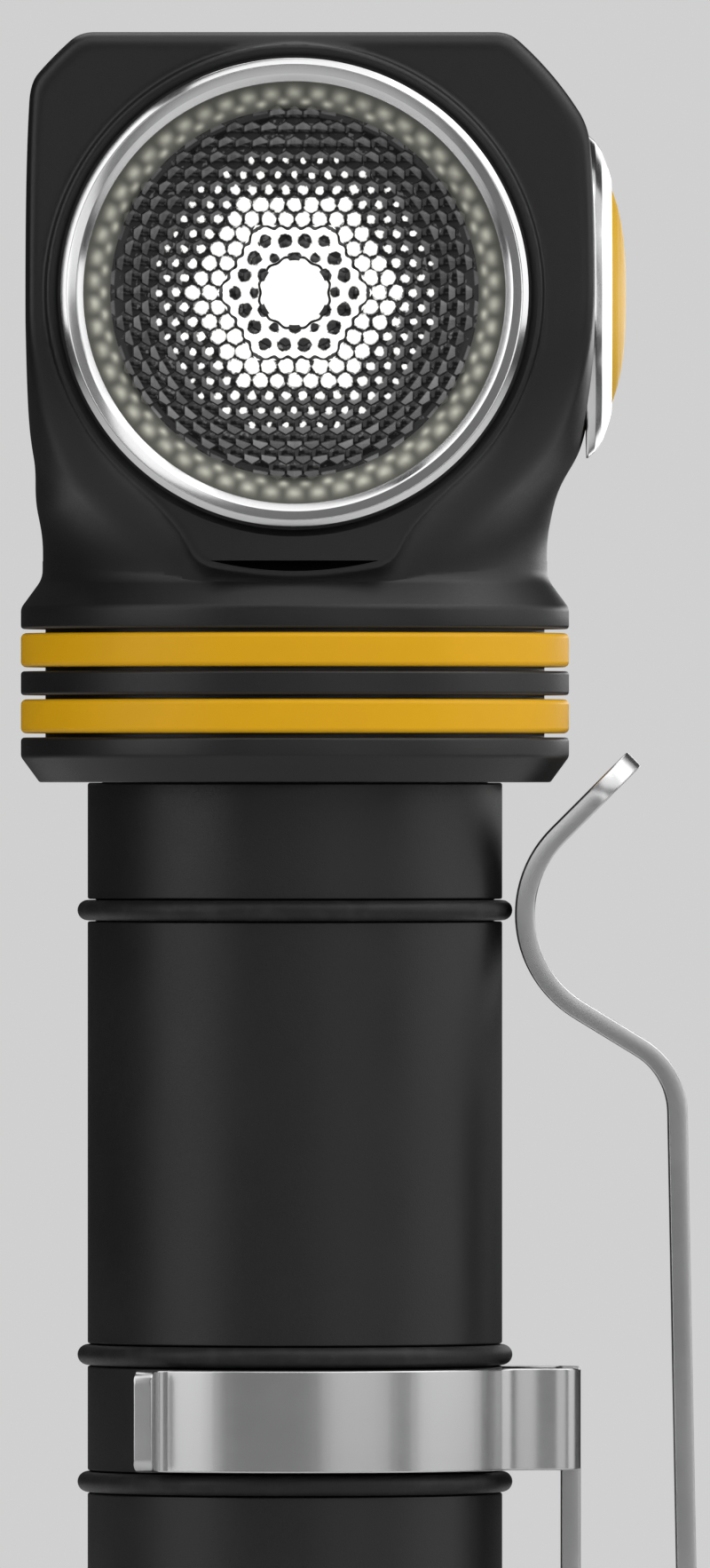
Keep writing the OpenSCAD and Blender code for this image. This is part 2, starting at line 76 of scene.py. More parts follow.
def mid_height(node):
    """Height of the middle of a CAD node."""
    return (low(node).z + high(node).z) / 2


LENS_Z = mid_height("bezel_ring")
TUBE_R = high("battery_tube").x
THREAD_R = high("head_seal").x - 0.02
SOCKET_R = THREAD_R + 0.05
TUBE_TOP = high("battery_tube").z
SPIGOT_Z = low("battery_tube").z
BORE_R = 9.5
COLLAR_Z = low("head_housing").z
COLLAR_R = high("head_housing").y
HEAD_TOP = high("head_housing").z
HEAD_LEFT = -low("head_housing").x
BEZEL_R = high("bezel_ring").x
BEZEL_FRONT = -low("bezel_ring").y
BOSS_FRONT = 15.3
PLATE_R = high("button_plate").y
PLATE_TOP = high("button_plate").x
BUTTON_TOP = high("button_cap").x
CAP_TOP = high("tail_cap").z
LOWER_RING = (low("lower_accent_ring").z, high("lower_accent_ring").z)
UPPER_RING = (low("upper_accent_ring").z, high("upper_accent_ring").z)
BAND_WIDTH = 6.0
BAND_Z = (high("clip_band").z - BAND_WIDTH, high("clip_band").z)


# ---------- mesh helpers ----------


def on_tube(p):
    """Turned shapes about the tube axis stay as they are."""
    return p


def on_lens(p):
    """Turned shapes drawn with +Z forward go on the lens axis, facing -Y."""
    return np.stack([p[:, 0], -p[:, 2], LENS_Z + p[:, 1]], axis=1)


def on_button(p):
    """Turned shapes drawn with +Z outward go on the button axis, facing +X."""
    return np.stack([p[:, 2], p[:, 1], LENS_Z - p[:, 0]], axis=1)


def ahead(point, heading, reach):
    """The point at a distance along a heading in degrees."""
    return (point[0] + reach * cos(radians(heading)), point[1] + reach * sin(radians(heading)))


def arc(corner, before, after, radius, steps):
    """Points that round one corner of an outline."""
    corner = Vector(corner)
    a = Vector(before) - corner
    b = Vector(after) - corner
    reach_limit = 0.49 * min(a.length, b.length)
    a.normalize()
    b.normalize()
    half = acos(max(-1.0, min(1.0, a.dot(b)))) / 2
    if half > pi / 2 - 0.02:
        return [tuple(corner)]
    reach = min(radius / tan(half), reach_limit)
    centre = corner + (a + b).normalized() * reach / cos(half)
    start = corner + a * reach - centre
    end = corner + b * reach - centre
    turn = start.angle(end)
    return [
        tuple(centre + (start * sin((1 - t) * turn) + end * sin(t * turn)) / sin(turn))
        for t in (k / steps for k in range(steps + 1))
    ]


def outline(corners, steps=5):
    """A closed outline from corners (a, b) or (a, b, radius of the corner)."""
    points = []
    for before, corner, after in zip(corners[-1:] + corners[:-1], corners, corners[1:] + corners[:1]):
        if len(corner) == 2:
            points.append(corner)
        else:
            points += arc(corner[:2], before[:2], after[:2], corner[2], steps)
    return points


def bridge(a, b, count):
    """Faces between two closed rows of vertices that start at a and b."""
    return [(a + k, a + (k + 1) % count, b + (k + 1) % count, b + k) for k in range(count)]


def add_object(name, data):
    """Adds an object to the scene."""
    obj = bpy.data.objects.new(name, data)
    bpy.context.scene.collection.objects.link(obj)
    return obj


def new_object(name, verts, faces):
    """A mesh object from vertices in millimetres, with its normals outward."""
    mesh = bpy.data.meshes.new(name)
    mesh.from_pydata((np.asarray(verts) * MM).tolist(), [], faces)
    work = bmesh.new()
    work.from_mesh(mesh)
    bmesh.ops.remove_doubles(work, verts=work.verts, dist=1e-7)
    bmesh.ops.recalc_face_normals(work, faces=work.faces)
    work.to_mesh(mesh)
    work.free()
    return add_object(name, mesh)


def turned(name, points, place=on_tube, segments=SEGMENTS, shift=None):
    """A closed outline of (radius, height) turned once round. shift gives the radii at each angle."""
    angles = np.arange(segments) * 2 * pi / segments
    verts, rows, faces = [], [], []
    for r, h in points:
        start = len(verts)
        if r < 1e-6:
            verts.append((0.0, 0.0, h))
            rows.append([start] * segments)
            continue
        radii = np.full(segments, r) if shift is None else shift(r, h, angles)
        verts += list(zip(radii * np.cos(angles), radii * np.sin(angles), np.full(segments, h)))
        rows.append(list(range(start, start + segments)))
    for row, after in zip(rows, rows[1:] + rows[:1]):
        if row[0] == row[1] and after[0] == after[1]:
            continue
        for k in range(segments):
            n = (k + 1) % segments
            faces.append(tuple(dict.fromkeys((row[k], row[n], after[n], after[k]))))
    return new_object(name, place(np.array(verts, float)), faces)


def boolean(obj, others, operation):
    """Adds or cuts away the other objects, which are then removed."""
    for other in others:
        modifier = obj.modifiers.new("cut", "BOOLEAN")
        modifier.operation = operation
        modifier.solver = "MANIFOLD"
        modifier.object = other
    apply_modifiers(obj)
    for other in others:
        bpy.data.objects.remove(other)


def apply_modifiers(obj):
    """Writes the object's modifiers into its mesh."""
    graph = bpy.context.evaluated_depsgraph_get()
    graph.update()
    mesh = bpy.data.meshes.new_from_object(obj.evaluated_get(graph))
    obj.modifiers.clear()
    obj.data = mesh


def smooth(obj, angle):
    """Smooth shading that keeps sharp edges, with flat faces left flat."""
    mesh = obj.data
    mesh.polygons.foreach_set("use_smooth", [True] * len(mesh.polygons))
    mesh.set_sharp_from_angle(angle=radians(angle))
    weighted = obj.modifiers.new("weighted_normals", "WEIGHTED_NORMAL")
    weighted.keep_sharp = True


def finish_piece(obj, body, slot, look, *nodes, angle=35):
    """Shades a piece, gives it its material, and rides it on its body."""
    smooth(obj, angle)
    obj.data.materials.clear()
    obj.data.materials.append(look)
    if body is not None:
        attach(obj, body)
    if nodes:
        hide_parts(*nodes)
    return obj


# ---------- material helpers ----------


RANGE = ("From Min", "From Max", "To Min", "To Max")


class Look:
    """A node material with its coordinates in millimetres in the CAD frame."""

    def __init__(self, name, color, metallic, roughness, specular=0.5):
        self.material = bpy.data.materials.new(name)
        self.material.use_nodes = True
        self.tree = self.material.node_tree
        self.shader = self.tree.nodes["Principled BSDF"]
        self.set("Base Color", (*color, 1))
        self.set("Metallic", metallic)
        self.set("Roughness", roughness)
        self.set("Specular IOR Level", specular)
        coordinates = self.node("TexCoord", {})
        self.place = self.vector("MULTIPLY", coordinates.outputs["Object"], (1000, 1000, 1000))

    def node(self, kind, feeds, **settings):
        """Adds a node, applies its settings and feeds its inputs, which are given by name or number."""
        made = self.tree.nodes.new("ShaderNode" + kind)
        for key, value in settings.items():
            setattr(made, key, value)
        for key, value in feeds.items():
            self.feed(made.inputs[key], value)
        return made

    def feed(self, socket, value):
        """Links a socket to the socket it gets, or sets it to the value."""
        if isinstance(value, bpy.types.NodeSocket):
            self.tree.links.new(value, socket)
        else:
            socket.default_value = value

    def set(self, name, value):
        """Feeds a socket of the shader."""
        self.feed(self.shader.inputs[name], value)

    def math(self, operation, *values, clamp=False):
        """Result of a math node."""
        feeds = dict(enumerate(values))
        return self.node("Math", feeds, operation=operation, use_clamp=clamp).outputs[0]

    def times(self, first, second, clamp=False):
        """Product of two values."""
        return self.math("MULTIPLY", first, second, clamp=clamp)

    def plus(self, first, second):
        """Sum of two values."""
        return self.math("ADD", first, second)

    def minus(self, first, second):
        """The first value less the second."""
        return self.math("SUBTRACT", first, second)

    def vector(self, operation, *values):
        """Result of a vector math node: a number for a length or a product, else a vector."""
        made = self.node("VectorMath", dict(enumerate(values)), operation=operation)
        scalar = operation in ("LENGTH", "DOT_PRODUCT", "DISTANCE")
        return made.outputs["Value" if scalar else "Vector"]

    def noise(self, scale, detail=3, stretch=(1, 1, 1)):
        """Noise from 0 to 1. scale is in features per millimetre."""
        feeds = {"Scale": scale, "Detail": detail, "Roughness": 0.55}
        feeds["Vector"] = self.vector("MULTIPLY", self.place, stretch)
        return self.node("TexNoise", feeds).outputs["Fac"]

    def between(self, value, start, end, to_low=0.0, to_high=1.0, soft=True):
        """value mapped from start..end to to_low..to_high."""
        feeds = dict(zip(RANGE, (start, end, to_low, to_high)), Value=value)
        kind = "SMOOTHSTEP" if soft else "LINEAR"
        return self.node("MapRange", feeds, interpolation_type=kind).outputs["Result"]

    def mix(self, factor, *colors):
        """Colour between two colours, each a socket or three numbers."""
        first, second = (c if isinstance(c, bpy.types.NodeSocket) else (*c, 1) for c in colors)
        feeds = {"Factor": factor, "A": first, "B": second}
        return self.node("Mix", feeds, data_type="RGBA").outputs["Result"]

    def bump(self, height, depth, strength):
        """Bump from a height of 0 to 1. depth is in millimetres."""
        feeds = {"Strength": strength, "Distance": depth * MM, "Height": height}
        self.set("Normal", self.node("Bump", feeds).outputs["Normal"])

    def surface(self, drift, first, second, grain, smoothest, roughest, depth, strength):
        """Colour from first to second with the drift, and roughness and bump from the grain."""
        self.set("Base Color", self.mix(drift, first, second))
        self.set("Roughness", self.between(grain, 0.3, 0.7, smoothest, roughest))
        self.bump(grain, depth, strength)
        return self.material


# ---------- materials ----------


def black_anodised():
    """Bead-blasted, hard anodised aluminium: a fine even grain with faint clouding."""
    look = Look("black_anodised", (0.006, 0.006, 0.006), 0.0, 0.42, specular=0.42)
    grain = look.noise(11, detail=2)
    cloud = look.noise(0.12)
    wear = look.between(cloud, 0.3, 0.7, -0.03, 0.03)
    look.set("Base Color", look.mix(cloud, (0.005, 0.005, 0.005), (0.0075, 0.0075, 0.0075)))
    look.set("Roughness", look.plus(look.between(grain, 0.3, 0.7, 0.36, 0.46), wear))
    look.bump(grain, 0.012, 0.5)
    return look.material


def satin_steel(name, tone, rough, streak):
    """Steel with a very fine brushed grain along one direction."""
    look = Look(name, (tone, tone, tone), 1.0, rough)
    grain = look.noise(6, detail=2, stretch=streak)
    smudge = look.noise(0.2, detail=2)
    look.set("Base Color", look.mix(smudge, (tone * 0.97,) * 3, (tone, tone, tone * 1.01)))
    spread = look.between(grain, 0.3, 0.7, -0.006, 0.008)
    look.set("Roughness", look.plus(look.between(smudge, 0.35, 0.65, rough, rough + 0.02), spread))
    return look.material


def yellow_rubber(name, color):
    """Satin yellow with a faint moulded grain."""
    look = Look(name, color, 0.0, 0.45, specular=0.22)
    grain = look.noise(7)
    cloud = look.noise(0.25)
    darker = tuple(c * 0.88 for c in color)
    return look.surface(cloud, darker, color, grain, 0.38, 0.5, 0.01, 0.4)


def plain_rubber(name, color, rough):
    """Moulded rubber: matt, with a fine grain and faint dust."""
    look = Look(name, color, 0.0, rough, specular=0.3)
    grain = look.noise(9)
    dust = look.between(look.noise(0.8, detail=5), 0.45, 0.75)
    lighter = tuple(c * 1.5 + 0.004 for c in color)
    return look.surface(dust, color, lighter, grain, rough - 0.06, rough + 0.06, 0.015, 0.4)


def machined(name, color, rough):
    """Turned or plated metal inside the light, with fine lathe rings."""
    look = Look(name, color, 1.0, rough)
    marks = look.noise(5, stretch=(0.15, 0.15, 3))
    stain = look.noise(0.4, detail=4)
    darker = tuple(c * 0.8 for c in color)
    return look.surface(stain, darker, color, marks, rough - 0.05, rough + 0.08, 0.008, 0.4)


def moulded(name, color, rough, fine=6.0):
    """Moulded plastic, solder mask or film, with small colour drift."""
    look = Look(name, color, 0.0, rough)
    grain = look.noise(fine)
    drift = look.noise(0.3)
    darker = tuple(c * 0.85 for c in color)
    return look.surface(drift, darker, color, grain, rough - 0.05, rough + 0.06, 0.01, 0.3)


def phosphor():
    """Yellow phosphor with a fine powder grain."""
    look = Look("led_phosphor", (0.85, 0.62, 0.08), 0.0, 0.3)
    powder = look.noise(12)
    return look.surface(powder, (0.75, 0.5, 0.05), (0.9, 0.72, 0.15), powder, 0.25, 0.45, 0.01, 0.3)


CELL_PITCH = 1.0
RIM_START = 10.8
RIM_BUMPS = 54
RIM_ROWS = ((11.2, 0.22, 0.0, 2.0), (11.8, 0.34, pi, 1.0))  # radius, width, phase, sharpness


def hex_offset(look, flat, pitch):
    """Vector from the centre of the nearest honeycomb cell, and the vector to that centre."""
    period = (pitch, 1.0, pitch * sqrt(3))
    half = (period[0] / 2, 0.0, period[2] / 2)
    shifted = look.vector("ADD", flat, half)
    first = look.vector("SUBTRACT", wrapped(look, shifted, period), half)
    second = look.vector("SUBTRACT", wrapped(look, flat, period), half)
    sizes = [look.vector("LENGTH", vector) for vector in (first, second)]
    nearer = look.math("LESS_THAN", *sizes)
    offset = look.node("Mix", {0: nearer, 4: second, 5: first}, data_type="VECTOR").outputs[1]
    return offset, look.vector("SUBTRACT", flat, offset)


HEX_SIDES = ((1, 0, 0), (0.5, 0, sqrt(0.75)), (-0.5, 0, sqrt(0.75)))
HEX_TOP = ((0, 0, 1), (sqrt(0.75), 0, 0.5), (sqrt(0.75), 0, -0.5))


def hex_size(look, vector, axes):
    """The vector's size, measured so that equal sizes lie on a hexagon with its flats across the axes."""
    parts = [look.math("ABSOLUTE", look.vector("DOT_PRODUCT", vector, axis)) for axis in axes]
    return look.math("MAXIMUM", look.math("MAXIMUM", parts[0], parts[1]), parts[2])


def ripple(look, flat, distance, radius, waves, height, half_width):
    """1 on a thin wavy line round the axis where distance is about radius, 0 elsewhere."""
    wave = look.math("COSINE", look.times(turn_angle(look, flat), waves))
    gap = look.math("MULTIPLY_ADD", wave, height, look.minus(distance, radius))
    return look.between(look.math("ABSOLUTE", gap), half_width, half_width + 0.04, 1.0, 0.0)


def turn_angle(look, flat):
    """Angle round the lens axis."""
    split = look.node("SeparateXYZ", {0: flat})
    return look.math("ARCTAN2", split.outputs["Z"], split.outputs["X"])


def stepped(look, value, stops):
    """A value that changes in steps, from (start, result) pairs."""
    total = stops[0][1]
    for (_, before), (start, after) in zip(stops, stops[1:]):
        step = look.math("GREATER_THAN", value, start)
        total = look.math("MULTIPLY_ADD", step, after - before, total)
    return total


def wrapped(look, vector, period):
    """vector modulo period, always positive, with Y left at 0."""
    scaled = look.vector("DIVIDE", vector, period)
    part = look.vector("FRACTION", scaled)
    return look.vector("MULTIPLY", part, (period[0], 0.0, period[2]))


def spot(look, offset, way, shift, size, blur):
    """1 inside a round spot whose centre is moved from the cell's by shift along the vector way."""
    centre = look.node("VectorMath", {0: way, "Scale": shift}, operation="SCALE").outputs[0]
    away = look.vector("DISTANCE", offset, centre)
    inside = look.minus(look.plus(size, blur), away)
    return look.math("DIVIDE", inside, blur * 2, clamp=True)


def frost_painted_light(look, flat, away):
    """Painted highlights on two staggered rows of bumps on a warm grey rim, in step with the bumps of the
    mesh, and painted shade along its inner edge.
    """
    turn = look.times(turn_angle(look, flat), RIM_BUMPS)
    total = 0.0
    for row_r, width, phase, power in RIM_ROWS:
        wave = look.math("COSINE", look.plus(turn, phase))
        wave = look.math("POWER", look.math("MULTIPLY_ADD", wave, 0.5, 0.5), power)
        gap = look.math("DIVIDE", look.minus(away, row_r), width)
        hump = look.math("EXPONENT", look.times(look.times(gap, gap), -1.0))
        total = look.plus(total, look.times(wave, hump))
    blotch = look.between(look.noise(0.9, detail=2), 0.3, 0.7, 0.8, 1.1)
    light = look.times(total, blotch, clamp=True)
    rim = look.mix(light, (0.19, 0.19, 0.165), (0.80, 0.80, 0.68))
    shade = look.between(away, RIM_START, RIM_START + 0.45, 1.0, 0.0)
    return look.mix(look.times(shade, 0.5), rim, (0.06, 0.06, 0.055))


def clear_optic():
    """The optic: a frosted rim with painted highlights and shade, dark glossy cells with a painted
    reflection, and painted, glowing spots of light near the centre.
    """
    look = Look("clear_optic", (0.03, 0.03, 0.03), 0.0, 0.2, specular=0.35)
    flat = look.vector("SUBTRACT", look.place, (0, 0, LENS_Z))
    flat = look.vector("MULTIPLY", flat, (1, 0, 1))
    offset, cell = hex_offset(look, flat, CELL_PITCH)
    away = look.vector("LENGTH", flat)
    ring = look.vector("LENGTH", cell)
    outward = look.vector("NORMALIZE", cell)
    wobble = look.noise(2.3, detail=2)
    # Middle: painted light, a white disc, then white rings that cross between the dark cells of a slightly
    # larger honeycomb
    span = hex_size(look, flat, HEX_TOP)
    large, large_cell = hex_offset(look, flat, CELL_PITCH * 1.12)
    large_ring = look.vector("LENGTH", large_cell)
    holes = ((0, 0), (1.8, 0.37), (2.1, 0.30), (2.8, 0.42), (3.2, 0.37), (3.8, -0.2))
    size = look.plus(stepped(look, large_ring, holes), look.between(wobble, 0.3, 0.7, -0.05, 0.05))
    dark = spot(look, large, outward, 0.12, size, 0.04)
    for wave in ((away, 2.06, 12, 0.07, 0.06), (span, 3.85, 30, 0.09, 0.08)):
        dark = look.math("MAXIMUM", dark, ripple(look, flat, *wave))
    core = look.between(away, 1.86, 1.92, 1.0, 0.0)
    middle = look.math("MAXIMUM", look.minus(1.0, dark), core)
    # Outside: painted light, one bright, ragged dot in each cell, which nearly fills it inside a hexagon and
    # shrinks beyond
    cell_span = hex_size(look, cell, HEX_TOP)
    ragged = look.between(look.noise(3.0, detail=2), 0.3, 0.7, -0.06, 0.06)
    sizes = ((0, 0.43), (4.6, 0.41), (5.3, 0.34), (5.8, 0.24), (6.4, 0.19), (7.1, 0.15), (7.8, 0.11))
    size = stepped(look, cell_span, sizes)
    dots = spot(look, offset, outward, -0.04, look.plus(size, ragged), 0.05)
    dots = look.times(dots, look.math("LESS_THAN", ring, 8.3))
    outer = look.between(span, 3.93, 3.98)
    lit = look.node("Mix", {"Factor": outer, "A": middle, "B": dots}, data_type="FLOAT").outputs[0]
    # Painted reflection: the outer part of each cell is painted grey where it would mirror the pale room,
    # fainter towards the middle, with painted glints on the inner side of some cells
    along = look.vector("DOT_PRODUCT", offset, outward)
    inside = look.between(hex_size(look, offset, HEX_SIDES), 0.45, 0.40)
    painted_reflection = look.times(look.between(along, 0.0, 0.1), inside)
    glint = look.times(look.between(wobble, 0.55, 0.7), look.between(along, -0.2, -0.3))
    varied = look.node("TexWhiteNoise", {"Vector": look.vector("ADD", cell, (0.013, 0.0, 0.013))})
    painted_reflection = look.times(painted_reflection, look.between(varied.outputs["Value"], 0, 1, 0.35, 1.0, soft=False))
    painted_reflection = look.times(painted_reflection, look.between(ring, 3.0, 6.0, 0.2, 1.0))
    height = look.vector("DOT_PRODUCT", flat, (0, 0, 1))
    # The painted reflection is fainter towards the top of the optic
    painted_reflection = look.times(painted_reflection, look.between(height, -9.0, 3.0, 1.0, 0.5))
    tone = look.mix(painted_reflection, (0.003, 0.003, 0.003), (0.34, 0.34, 0.34))
    tone = look.mix(look.times(glint, 0.5), tone, (0.3, 0.3, 0.3))
    cells = look.mix(lit, tone, (1.0, 1.0, 0.98))
    frost_zone = look.between(away, RIM_START - 0.02, RIM_START + 0.02)
    look.set("Base Color", look.mix(frost_zone, cells, frost_painted_light(look, flat, away)))
    look.set("Roughness", look.between(frost_zone, 0, 1, 0.2, 0.6))
    # Painted glow: the optic gives off light where its spots of light are painted
    glow = look.times(lit, look.minus(1.0, frost_zone))
    look.set("Emission Color", (1, 1, 0.98, 1))
    look.set("Emission Strength", look.times(glow, 0.5))
    return look.material


# ---------- head ----------


def smooth_max(a, b, blend):
    """The larger of two distance fields, with a round edge of about that size."""
    h = np.maximum(blend - np.abs(a - b), 0) / blend
    return np.maximum(a, b) + h * h * blend / 4


def smooth_min(a, b, blend):
    """The smaller of two distance fields, with a round inner corner."""
    return -smooth_max(-a, -b, blend)


# The head's flat front and back, from the tube axis
HEAD_FRONT = 14.7
HEAD_BACK = 13.0
# The neck starts above the collar's lip, which follows the gap over the upper ring
RING_GAP = 0.24
LIP_HEIGHT = 1.25
NECK_R = 14.9
NECK_Z = UPPER_RING[1] + RING_GAP + LIP_HEIGHT + 1.75
BOSS_R = 14.6
CHIN_HALF = 5.5
CHIN_Z = NECK_Z + 0.95


def head_block(x, y, z):
    """Squared upper part of the head, as a distance field."""
    left_bow, right_bow = 115.0, 84.0
    right_face, corner_cut = 17.85, 19.8
    back_corner, back_half, back_middle = 8.0, 16.85, 1.0
    flare_blend, flare_slope = 5.0, 0.95
    v = z - LENS_Z
    left_side = np.hypot(x + HEAD_LEFT + 0.05 - left_bow, v) - left_bow
    right_side = np.hypot(x - right_face + right_bow, v) - right_bow
    plan = smooth_max(smooth_max(left_side, right_side, 0.5), np.hypot(x, v) - corner_cut, 0.5)
    plan = smooth_max(plan, z - HEAD_TOP, 0.5)
    depth = smooth_max(-y - HEAD_FRONT, y - HEAD_BACK, 1.0)
    beyond_x = np.maximum(np.abs(x - back_middle) - (back_half - back_corner), 0)
    beyond_y = np.maximum(y - (HEAD_BACK - back_corner), 0)
    back_round = np.hypot(beyond_x, beyond_y) - back_corner
    block = smooth_max(smooth_max(plan, depth, 1.1), back_round, 0.8)
    flare = (np.hypot(x, y) - NECK_R - 0.25 - (z - NECK_Z - 2.2) * flare_slope) * 0.72
    return smooth_max(block, flare, flare_blend)


def cooling_grooves(y, z):
    """Grooves across the back of the head, as a distance field of what is cut away."""
    pitch, half_width, depth = 3.4, 0.8, 1.5
    v = z - LENS_Z
    nearest = np.clip(np.round(v / pitch), -2, 2) * pitch
    return smooth_max(np.abs(v - nearest) - half_width, HEAD_BACK - depth - y, 0.5)


def lens_boss(x, y, z):
    """Round boss with a tongue under it, as a distance field."""
    v = z - LENS_Z
    circle = np.hypot(x, v) - BOSS_R
    chin = smooth_max(np.abs(x) - CHIN_HALF, CHIN_Z - z, 1.5)
    chin = smooth_max(chin, v, 0.5)
    plan = smooth_min(circle, chin, 4.0)
    return smooth_max(plan, smooth_max(-y - BOSS_FRONT, y, 0.3), 0.3)


def chin_slot():
    """A crescent slot right under the tongue, that runs back and up behind it."""
    half, drop, depth, climb = 4.9, 0.6, 2.0, 1.3
    across = np.linspace(-half, half, 33)
    top = [(x, CHIN_Z) for x in across]
    bottom = [(x, CHIN_Z - 0.02 - drop * (1 - (x / half) ** 2)) for x in across[::-1]]
    verts = []
    for y, rise in ((-BOSS_FRONT - 2, 0.0), (-NECK_R, 0.0), (depth - NECK_R, climb)):
        verts += [(x, y, z + rise) for x, z in top + bottom]
    count = len(top + bottom)
    faces = [tuple(range(count)), tuple(range(2 * count, 3 * count))[::-1]]
    for start in (0, count):
        faces += bridge(start, start + count, count)
    return new_object("chin_slot", verts, faces)


def head_field(x, y, z):
    """The whole head above the collar."""
    neck = smooth_max(np.hypot(x, y) - NECK_R, z - NECK_Z - 5.0, 2.0)
    body = smooth_min(head_block(x, y, z), neck, 2.2)
    body = smooth_max(body, -cooling_grooves(y, z), 0.5)
    soft = 0.3 + 1.7 * np.clip((LENS_Z - 7.0 - z) / 6.0, 0, 1)
    body = smooth_min(body, lens_boss(x, y, z), soft)
    return smooth_max(body, NECK_Z - 0.6 - z, 0.2)


def field_mesh(name, field, low_corner, high_corner, step):
    """Meshes the zero level of a distance field, then moves each vertex onto it."""
    axes = [np.arange(a, b, step) for a, b in zip(low_corner, high_corner)]
    x, y, z = np.meshgrid(*axes, indexing="ij", sparse=True)
    grid = openvdb.FloatGrid(background=float(step * 4))
    grid.copyFromArray(field(x, y, z).astype(np.float64))
    points, quads = grid.convertToQuads()
    points = points * step + np.array(low_corner)
    for _ in range(4):
        points -= pull(field, points)
    return new_object(name, points, quads.tolist())


def pull(field, points):
    """The step from each point to the field's zero level."""
    small = 0.01
    here = field(*points.T)
    rises = [field(*(points + move).T) - field(*(points - move).T) for move in small * np.eye(3)]
    slope = np.stack(rises, axis=1) / (2 * small)
    size = np.maximum((slope**2).sum(axis=1), 0.2)
    return slope * (here / size)[:, None]


def collar_outline():
    """Collar with its two ring seats and the fin between them, up to the neck."""
    core_r = COLLAR_R - 1.45
    seat_r = core_r - 0.55
    lip_z = UPPER_RING[1] + RING_GAP
    neck = NECK_R + 0.02
    corners = [(0, COLLAR_Z), (COLLAR_R - 1.1, COLLAR_Z, 0.2), (COLLAR_R, COLLAR_Z + 1.5, 0.5)]
    corners += [(COLLAR_R, LOWER_RING[0] - RING_GAP, 0.22), (core_r, LOWER_RING[0] - RING_GAP)]
    for z0, z1 in (LOWER_RING, UPPER_RING):
        corners += [(core_r, z0), (seat_r, z0), (seat_r, z1), (core_r, z1)]
        if z1 == LOWER_RING[1]:
            fin = (z1 + RING_GAP, UPPER_RING[0] - RING_GAP)
            corners += [(core_r, fin[0]), (COLLAR_R, fin[0], 0.2), (COLLAR_R, fin[1], 0.2), (core_r, fin[1])]
    corners += [(core_r, lip_z), (COLLAR_R, lip_z, 0.2), (COLLAR_R, lip_z + LIP_HEIGHT, 0.7)]
    corners += [(neck, NECK_Z, 1.6), (neck, NECK_Z + 1.0), (NECK_R - 1.5, NECK_Z + 1.0), (0, NECK_Z + 1.0)]
    return outline(corners)


def head_cutters():
    """Everything that is bored out of the head."""
    far = 25.0
    shelf, flange, optic_r = -0.2, 12.6, 12.6
    seat_r, relief_r = BEZEL_R - 0.05, BEZEL_R + 0.15
    corners = [(0, shelf), (optic_r, shelf), (optic_r, flange), (seat_r, flange)]
    corners += [(seat_r, BOSS_FRONT - 0.5), (relief_r, BOSS_FRONT - 0.5), (relief_r, BOSS_FRONT - 0.35)]
    corners += [(BEZEL_R + 0.55, BOSS_FRONT + 0.01), (BEZEL_R + 0.55, far), (0, far)]
    lens = turned("lens_cut", outline(corners), on_lens)
    pocket, pocket_r = low("switch_board").x - 0.02, 7.65
    flank, plate_r = 17.2, PLATE_R + 0.06
    corners = [(0, pocket), (pocket_r, pocket), (pocket_r, flank), (plate_r, flank), (plate_r, flank + 0.35)]
    corners += [(PLATE_R + 0.5, far), (0, far)]
    switch = turned("switch_cut", outline(corners), on_button)
    mouth, bay_r = COLLAR_Z - 2, SOCKET_R + 0.15
    bay_top = low("driver_board").z + 3.4
    corners = [(0, mouth), (SOCKET_R + 0.4, mouth), (SOCKET_R + 0.4, COLLAR_Z), (SOCKET_R, COLLAR_Z + 0.4)]
    corners += [(SOCKET_R, TUBE_TOP), (bay_r, TUBE_TOP), (bay_r, bay_top), (0, bay_top)]
    socket = turned("socket_cut", outline(corners))
    return [chin_slot(), lens, switch, socket]


def make_head(look):
    """The head, meshed from its field, with the collar added and everything bored out."""
    step = 0.25
    reach = ((-17.5, -17.0, NECK_Z - 2), (19.5, 14.5, HEAD_TOP + 1.0))
    shell = field_mesh("head_shell", head_field, *reach, step)
    boolean(shell, [turned("collar", collar_outline())], "UNION")
    boolean(shell, head_cutters(), "DIFFERENCE")
    return finish_piece(shell, "torch", "black_anodised", look, "head_housing", angle=40)


# ---------- lens ----------

CELL_LIMIT = 10.5  # radius of the honeycomb
FACE = 14.35  # how far forward of the tube axis the cells meet


def make_bezel(look):
    """Ring with a nearly flat face and a bevel on each side of it."""
    inner, skirt = BEZEL_R - 1.38, BEZEL_R - 0.1
    ledge, shoulder, back = 14.62, 14.86, low_front("bezel_ring")
    corners = [(inner, ledge), (inner, 15.55, 0.06), (inner + 0.34, 15.86, 0.12), (inner + 0.45, 15.93, 0.1)]
    corners += [(BEZEL_R - 0.38, BEZEL_FRONT, 0.12), (BEZEL_R, BEZEL_FRONT - 0.34, 0.12)]
    corners += [(BEZEL_R, shoulder), (skirt, shoulder - 0.02), (skirt, back)]
    corners += [(skirt - 0.65, back), (skirt - 0.65, ledge)]
    ring = turned("bezel", outline(corners), on_lens)
    return finish_piece(ring, "torch", "steel_trim", look, "bezel_ring", angle=30)


def low_front(node):
    """How far forward of the tube axis the back of a node lies."""
    return -high(node).y


def hex_cells():
    """Centres of the whole honeycomb cells within the face."""
    row_step = CELL_PITCH * sqrt(0.75)
    rows = int(CELL_LIMIT / row_step) + 1
    grid = [(i + (j % 2) / 2, j) for j in range(-rows, rows + 1) for i in range(-rows, rows + 1)]
    cells = [(i * CELL_PITCH, j * row_step) for i, j in grid]
    return [cell for cell in cells if hypot(*cell) < CELL_LIMIT]


